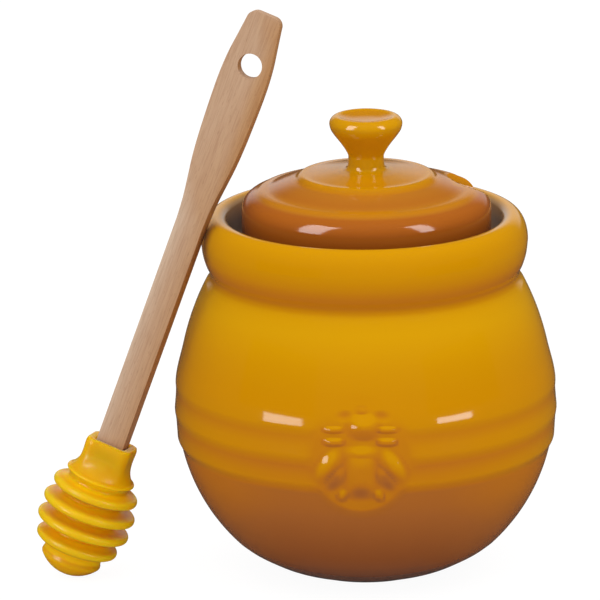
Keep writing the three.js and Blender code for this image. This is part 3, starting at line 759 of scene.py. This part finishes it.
# Steamed beech, sanded and unvarnished: long pale and pinkish streaks, fine pores along the grain and
# short dark ray flecks.
beech, shader = new_material("beech_bare", handle, Roughness=0.62, IOR=1.5,
                             Specular_IOR_Level=0.25)
place = add_node(beech, "ShaderNodeTexCoord")
# Turns the grain along the handle.
grain_place = add_node(beech, "ShaderNodeMapping", {"Vector": place.outputs["Object"]},
                       {"Rotation": (0, math.radians(-DIPPER_LEAN), math.radians(DIPPER_TURN))})
# Streaks about 2 mm wide and 60 mm long.
wide = add_node(beech, "ShaderNodeMapping", {"Vector": grain_place.outputs[0]},
                {"Scale": (480, 480, 17)})
streaks = add_node(beech, "ShaderNodeTexNoise", {"Vector": wide.outputs[0]},
                   {"Scale": 1, "Detail": 3, "Roughness": 0.6})
wood = add_node(beech, "ShaderNodeValToRGB", {0: streaks.outputs[0]}, stops=[
    (0.3, "#CEB299"), (0.7, "#D6BDA4"), (0.5, "#D2B79F")])
# Pores about 0.35 mm wide and 8 mm long.
narrow = add_node(beech, "ShaderNodeMapping", {"Vector": grain_place.outputs[0]},
                  {"Scale": (2800, 2800, 120)})
pores = add_node(beech, "ShaderNodeTexNoise", {"Vector": narrow.outputs[0]},
                 {"Scale": 1, "Detail": 2})
pore_shade = add_node(beech, "ShaderNodeValToRGB", {0: pores.outputs[0]},
                      stops=[(0.34, "#C0A490"), (0.55, "#FFFFFF")])
# The board's tone, with its painted light and shade, over the streaks.
tone_light_shade_value = add_node(beech, "ShaderNodeAttribute", attribute_name="edge")
board_tone = add_node(beech, "ShaderNodeValToRGB", {0: tone_light_shade_value.outputs["Fac"]},
                      stops=[(0.0, "#FFFFFF"), (1.0, "#DDB681"), (0.35, "#EDDDCE")])
# Ray flecks about 0.3 mm by 1.5 mm, one to every 0.7 mm by 4 mm.
fleck_place = add_node(beech, "ShaderNodeMapping", {"Vector": grain_place.outputs[0]},
                       {"Scale": (1500, 1500, 260)})
flecks = add_node(beech, "ShaderNodeTexVoronoi", {"Vector": fleck_place.outputs[0]}, {"Scale": 1})
fleck_shade = add_node(beech, "ShaderNodeValToRGB", {0: flecks.outputs["Distance"]},
                       stops=[(0.1, "#9A6C4A"), (0.2, "#FFFFFF")])
colour = wood.outputs[0]
for layer, strength in ((board_tone, 1), (pore_shade, 0.25), (fleck_shade, 0.2)):
    mixed = add_node(beech, "ShaderNodeMix", {6: colour, 7: layer.outputs[0]}, {0: strength},
                     data_type="RGBA", blend_type="MULTIPLY")
    colour = mixed.outputs[2]
connect(beech, colour, shader, "Base Color")
fibre_bump = add_node(beech, "ShaderNodeBump", {"Height": pores.outputs[0]},
                      {"Strength": 0.25, "Distance": 0.15 * MM})
connect(beech, fibre_bump.outputs[0], shader, "Normal")

# The photo shows no reflection of the dipper in the jar.
handle.visible_glossy = head.visible_glossy = False
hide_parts("dipper_handle")
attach(handle, "dipper")


# A white studio table. For the camera it is nearly as white as the backdrop, and the pot's soft
# shadow stays on it.
TABLE_SIZE = 12
bpy.ops.object.select_all(action="DESELECT")
bpy.ops.mesh.primitive_plane_add(size=TABLE_SIZE)
table = bpy.context.object
table.name = table.data.name = "table"
table.visible_glossy = False
table_white, shader = new_material("table_white", table, Roughness=0.9, Specular_IOR_Level=0,
                                   Emission_Color=(1, 1, 1, 1))
rays = add_node(table_white, "ShaderNodeLightPath")
own = add_node(table_white, "ShaderNodeMapRange", {"Value": rays.outputs["Is Camera Ray"]},
               {"To Min": 0.82, "To Max": 0.1})
connect(table_white, own.outputs[0], shader, "Base Color")
glow = add_node(table_white, "ShaderNodeMath", {0: rays.outputs["Is Camera Ray"]}, {1: 0.95},
                operation="MULTIPLY")
connect(table_white, glow.outputs[0], shader, "Emission Strength")

# Soft white light from all round, white behind the pot for the camera, and a dark studio in what the
# glaze reflects, with a pale haze low behind the pot that grazes its outline.
SKY = 0.82
DARK = 0.05
HAZE = 0.72
world = bpy.data.worlds.new("studio")
bpy.context.scene.world = world
world.use_nodes = True
sky = world.node_tree.nodes["Background"]
rays = add_node(world, "ShaderNodeLightPath")
direction = add_node(world, "ShaderNodeTexCoord")
parts = add_node(world, "ShaderNodeSeparateXYZ", {0: direction.outputs["Generated"]})
behind = add_node(world, "ShaderNodeMapRange", {"Value": parts.outputs["Y"]},
                  {"From Min": 0.8, "From Max": 0.97}, interpolation_type="SMOOTHSTEP")
low = add_node(world, "ShaderNodeValToRGB", {0: parts.outputs["Z"]}, stops=[
    (0.0, "#000000"), (0.6, "#000000"), (0.1, "#FFFFFF"), (0.28, "#FFFFFF")])
left = add_node(world, "ShaderNodeMapRange", {"Value": parts.outputs["X"]},
                {"From Min": 0.04, "From Max": -0.08, "To Min": 0.85 * HAZE, "To Max": HAZE},
                interpolation_type="SMOOTHSTEP")
horizon = add_node(world, "ShaderNodeMath", {0: behind.outputs[0], 1: low.outputs[0]},
                   operation="MULTIPLY")
studio = add_node(world, "ShaderNodeMath", {0: horizon.outputs[0], 1: left.outputs[0]}, {2: DARK},
                  operation="MULTIPLY_ADD")
room = add_node(world, "ShaderNodeMapRange",
                {"Value": rays.outputs["Is Glossy Ray"], "To Max": studio.outputs[0]},
                {"To Min": SKY})
backdrop = add_node(world, "ShaderNodeMath", {0: rays.outputs["Is Camera Ray"], 1: room.outputs[0]},
                    operation="MAXIMUM")
connect(world, backdrop.outputs[0], sky, "Strength")
sky.inputs["Color"].default_value = (1, 1, 1, 1)


def lamp(name, place, target, size, strength):
    """A rectangular lamp that faces a target. At strength 1 its face is as bright as white."""
    data = bpy.data.lights.new(name, "AREA")
    data.shape = "RECTANGLE"
    data.size, data.size_y = size
    data.energy = strength * math.pi * size[0] * size[1]
    light = bpy.data.objects.new(name, data)
    bpy.context.collection.objects.link(light)
    light.location = place
    light.rotation_euler = (Vector(target) - Vector(place)).to_track_quat("-Z", "Y").to_euler()
    light.visible_camera = False
    return light


overhead = lamp("overhead_softbox", (0.1, -0.5, 1.3), (0, 0, 0.08), (2.0, 1.2), 1.2)
overhead.visible_glossy = False

# The softboxes beside the camera show only as reflections. One pair stands low and marks the jar, and
# one pair stands higher and marks the lid and the dipper's head.
SOFTBOX_DISTANCE = 0.9
SOFTBOX_AIM = 0.058
FLAG_DISTANCE = 0.15
FLAG_HEIGHT = 0.0955
FLAG_SIZE = (0.12, 0.047)


def reflected(name, turn, rise, size, strength, pieces):
    """A softbox at a turn and a rise seen from the jar, which only these pieces reflect."""
    turn, rise = math.radians(turn), math.radians(rise)
    out = SOFTBOX_DISTANCE * math.cos(rise)
    place = (out * math.sin(turn), -out * math.cos(turn),
             SOFTBOX_AIM + SOFTBOX_DISTANCE * math.sin(rise))
    light = lamp(name, place, (0, 0, SOFTBOX_AIM), size, strength)
    light.visible_diffuse = False
    shown_on = bpy.data.collections.new(name)
    for piece in pieces:
        shown_on.objects.link(piece)
    light.light_linking.receiver_collection = shown_on


def flag(name, turn):
    """A small black flag that keeps a low softbox off the collar."""
    turn = math.radians(turn)
    place = (FLAG_DISTANCE * math.sin(turn), -FLAG_DISTANCE * math.cos(turn), FLAG_HEIGHT)
    bpy.ops.mesh.primitive_plane_add(size=1, rotation=(math.pi / 2, 0, turn), location=place)
    plane = bpy.context.object
    plane.scale = (*FLAG_SIZE, 1)
    bpy.ops.object.transform_apply(location=True, rotation=True, scale=True)
    plane.name = plane.data.name = name
    new_material(name, plane, Base_Color=(0, 0, 0, 1), Roughness=1)
    plane.visible_camera = False
    plane.visible_diffuse = False


flag("flag_left", -46)
flag("flag_right", 55)
reflected("low_softbox_left", -47.6, -0.6, (0.4, 0.15), 7.5, [jar])
reflected("low_softbox_right", 54.6, -0.7, (0.36, 0.1), 8.5, [jar])
reflected("high_softbox_left", -51, 31, (0.37, 0.95), 9, [lid, head])
reflected("high_softbox_right", 58, 31, (0.23, 0.75), 9, [lid, head])


# The camera stands well back with a long lens, a little above the pot. Its angles, its place and its
# focal length in pixels were fitted to the photo.
PHOTO_WIDTH = 600
FOCAL_PIXELS = 6968
SENSOR_WIDTH = 36
swing = math.radians(1.65)
pitch = math.radians(15.169)
yaw = math.radians(-0.553)
roll = math.radians(-0.56)
forward = Vector((math.sin(yaw) * math.cos(pitch), math.cos(yaw) * math.cos(pitch),
                  -math.sin(pitch)))
level = Vector((math.cos(yaw), -math.sin(yaw), 0))
upward = level.cross(forward)
right_hand = math.cos(roll) * level + math.sin(roll) * upward
head_up = math.cos(roll) * upward - math.sin(roll) * level
place = Vector((0, -2.0, 0.6241))
view = Matrix((right_hand, head_up, -forward)).transposed().to_4x4()
camera_data = bpy.data.cameras.new("camera")
camera_data.sensor_fit = "HORIZONTAL"
camera_data.sensor_width = SENSOR_WIDTH
camera_data.lens = SENSOR_WIDTH * FOCAL_PIXELS / PHOTO_WIDTH
camera = bpy.data.objects.new("camera", camera_data)
bpy.context.collection.objects.link(camera)
camera.matrix_world = Matrix.Rotation(swing, 4, "Z") @ Matrix.Translation(place) @ view
bpy.context.scene.camera = camera
bpy.context.scene.view_settings.view_transform = "Standard"
